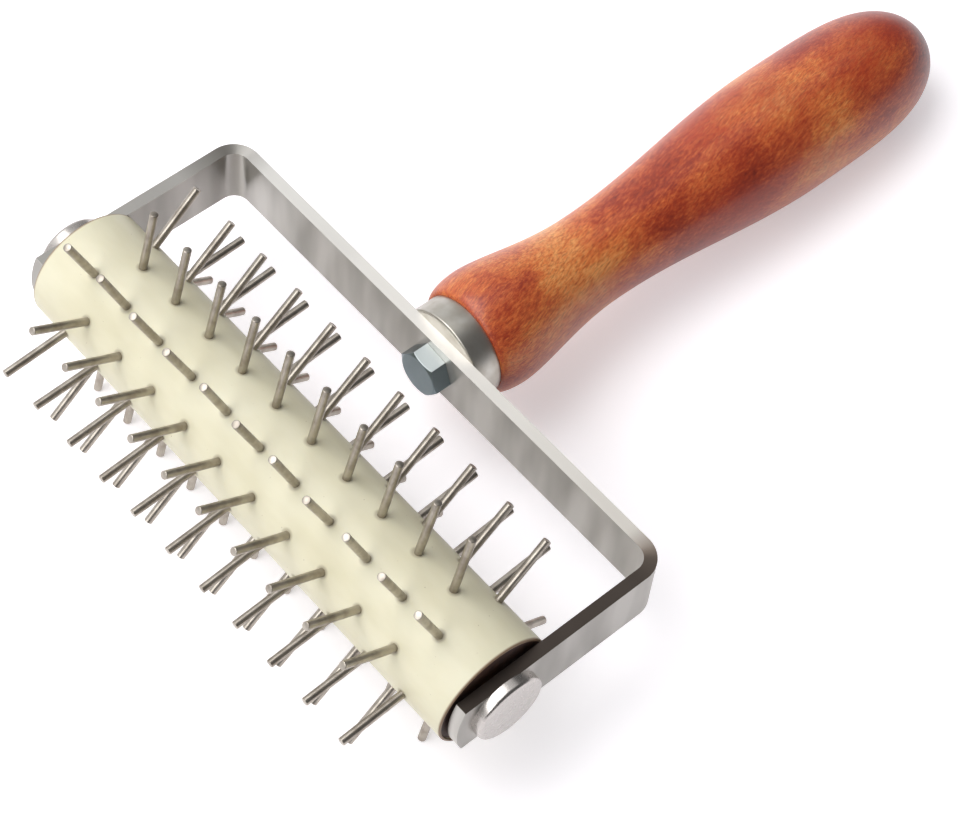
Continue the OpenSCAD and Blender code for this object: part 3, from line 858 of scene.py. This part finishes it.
class DOCKER_OT_stage(bpy.types.Operator):
    """Make the floor, the lamp, the world and the camera"""
    bl_idname = "docker.stage"
    bl_label = "Stage"

    def execute(self, context):
        scene = context.scene
        scene.view_settings.view_transform = "Standard"
        stage = scene.docker_stage
        self.floor(scene, stage)
        self.world(scene)
        self.lamp(scene, stage)
        self.camera(scene, stage)
        return {"FINISHED"}

    def floor(self, scene, stage):
        """A white sheet that shows white where no shadow falls."""
        side = 4.0
        floor = mesh_object("floor", [(-side, -side, 0), (side, -side, 0), (side, side, 0),
                                      (-side, side, 0)], [(0, 1, 2, 3)], Matrix())
        paper, tree, shader = new_material("paper_white", Roughness=0.9)
        shader.inputs["Base Color"].default_value = stage.paper
        shader.inputs["Emission Color"].default_value = stage.paper
        path = add(tree, "ShaderNodeLightPath").outputs
        seen = add(tree, "ShaderNodeMath", {0: path["Is Camera Ray"], 1: path["Is Glossy Ray"]},
                   operation="MAXIMUM")
        shown = add(tree, "ShaderNodeMath", {0: seen, 1: path["Is Transmission Ray"]}, operation="MAXIMUM")
        # The lamp and the world light the paper the rest of the way up to white.
        lift = add(tree, "ShaderNodeMath", {0: shown, 1: 0.46}, operation="MULTIPLY")
        tree.links.new(lift.outputs[0], shader.inputs["Emission Strength"])
        floor.data.materials.append(paper)

    def world(self, scene):
        """A plain studio: bright walls in front and on the left, dim ones behind and on the right, with
        two soft boxes that the metal reflects, one in front and one high behind."""
        world = bpy.data.worlds.new("studio")
        world.use_nodes = True
        tree = world.node_tree
        view = add(tree, "ShaderNodeTexCoord").outputs["Generated"]
        toward = add(tree, "ShaderNodeSeparateXYZ", {0: view}).outputs
        wall = add(tree, "ShaderNodeMapRange", {"Value": toward["Y"], "From Min": 0.25, "From Max": -0.35,
                                                "To Min": 0.15, "To Max": 0.84},
                   interpolation_type="SMOOTHSTEP")
        dim = add(tree, "ShaderNodeMapRange", {"Value": toward["X"], "From Min": -0.05, "From Max": 0.35,
                                               "To Min": 1.0, "To Max": 0.18},
                  interpolation_type="SMOOTHSTEP")
        front = add(tree, "ShaderNodeMath", {0: wall, 1: dim}, operation="MULTIPLY")
        darkest = 0.13
        light = add(tree, "ShaderNodeMath", {0: front, 1: darkest}, operation="MAXIMUM")
        # The left wall and the two soft boxes: where each stands, the cosines of the angles from there at
        # which it starts and is full, and how bright it is.
        for direction, start, full, bright in (((-1, 0, 0), 0.36, 0.75, 0.9),
                                               ((-0.03, -0.76, 0.64), 0.92, 0.972, 3.5),
                                               ((-0.24, 0.48, 0.84), 0.93, 0.985, 0.85)):
            near = add(tree, "ShaderNodeVectorMath", {0: view, 1: Vector(direction).normalized()},
                       operation="DOT_PRODUCT")
            glow = add(tree, "ShaderNodeMapRange", {"Value": near, "From Min": start, "From Max": full,
                                                    "To Max": bright},
                       interpolation_type="SMOOTHSTEP")
            light = add(tree, "ShaderNodeMath", {0: light, 1: glow}, operation="MAXIMUM")
        tree.links.new(light.outputs[0], tree.nodes["Background"].inputs["Strength"])
        tree.nodes["Background"].inputs["Color"].default_value = linear("#ffffff")
        scene.world = world

    def lamp(self, scene, stage):
        """One large soft lamp, nearly overhead and a little to the left."""
        data = bpy.data.lights.new("key_lamp", "AREA")
        data.size = 0.9
        data.energy = stage.key
        lamp = bpy.data.objects.new("key_lamp", data)
        away = 1.25
        lamp.location = Vector((-0.33, -0.23, 0.91)) * away
        lamp.rotation_euler = (-lamp.location).to_track_quat("-Z", "Y").to_euler()
        scene.collection.objects.link(lamp)

    def camera(self, scene, stage):
        """The camera at the photograph's viewing angle."""
        back = Vector((math.sin(stage.azimuth) * math.cos(stage.elevation),
                       -math.cos(stage.azimuth) * math.cos(stage.elevation), math.sin(stage.elevation)))
        level = back.cross(Vector((0, 0, -1))).normalized()
        above = level.cross(-back)
        right = math.cos(stage.roll) * level + math.sin(stage.roll) * above
        top = math.cos(stage.roll) * above - math.sin(stage.roll) * level
        data = bpy.data.cameras.new("camera")
        data.lens = stage.lens
        data.sensor_width = 36
        camera = bpy.data.objects.new("camera", data)
        place = Vector(stage.target) + back * stage.distance
        camera.matrix_world = Matrix.Translation(place) @ Matrix((right, top, back)).transposed().to_4x4()
        scene.collection.objects.link(camera)
        scene.camera = camera


class DOCKER_PT_panel(bpy.types.Panel):
    bl_label = "Dough docker"
    bl_idname = "DOCKER_PT_panel"
    bl_space_type = "VIEW_3D"
    bl_region_type = "UI"
    bl_category = "Docker"

    def draw(self, context):
        for group in GROUPS:
            for name in getattr(context.scene, group).__annotations__:
                self.layout.prop(getattr(context.scene, group), name)
        for step in STEPS:
            self.layout.operator(step.bl_idname)


GROUPS = {"docker_roller": RollerSettings, "docker_yoke": YokeSettings, "docker_screw": ScrewSettings,
          "docker_handle": HandleSettings, "docker_colours": ColourSettings, "docker_stage": StageSettings}
STEPS = (DOCKER_OT_roller, DOCKER_OT_pins, DOCKER_OT_yoke, DOCKER_OT_axle, DOCKER_OT_screw,
         DOCKER_OT_ferrule, DOCKER_OT_handle, DOCKER_OT_stage)


def register():
    for name, group in GROUPS.items():
        bpy.utils.register_class(group)
        setattr(bpy.types.Scene, name, bpy.props.PointerProperty(type=group))
    for cls in STEPS + (DOCKER_PT_panel,):
        bpy.utils.register_class(cls)


def unregister():
    for cls in (DOCKER_PT_panel,) + STEPS:
        bpy.utils.unregister_class(cls)
    for name, group in GROUPS.items():
        delattr(bpy.types.Scene, name)
        bpy.utils.unregister_class(group)


def main():
    register()
    bpy.ops.docker.roller()
    bpy.ops.docker.pins()
    bpy.ops.docker.yoke()
    bpy.ops.docker.axle()
    bpy.ops.docker.screw()
    bpy.ops.docker.ferrule()
    bpy.ops.docker.handle()
    bpy.ops.docker.stage()


if __name__ == "__main__":
    main()
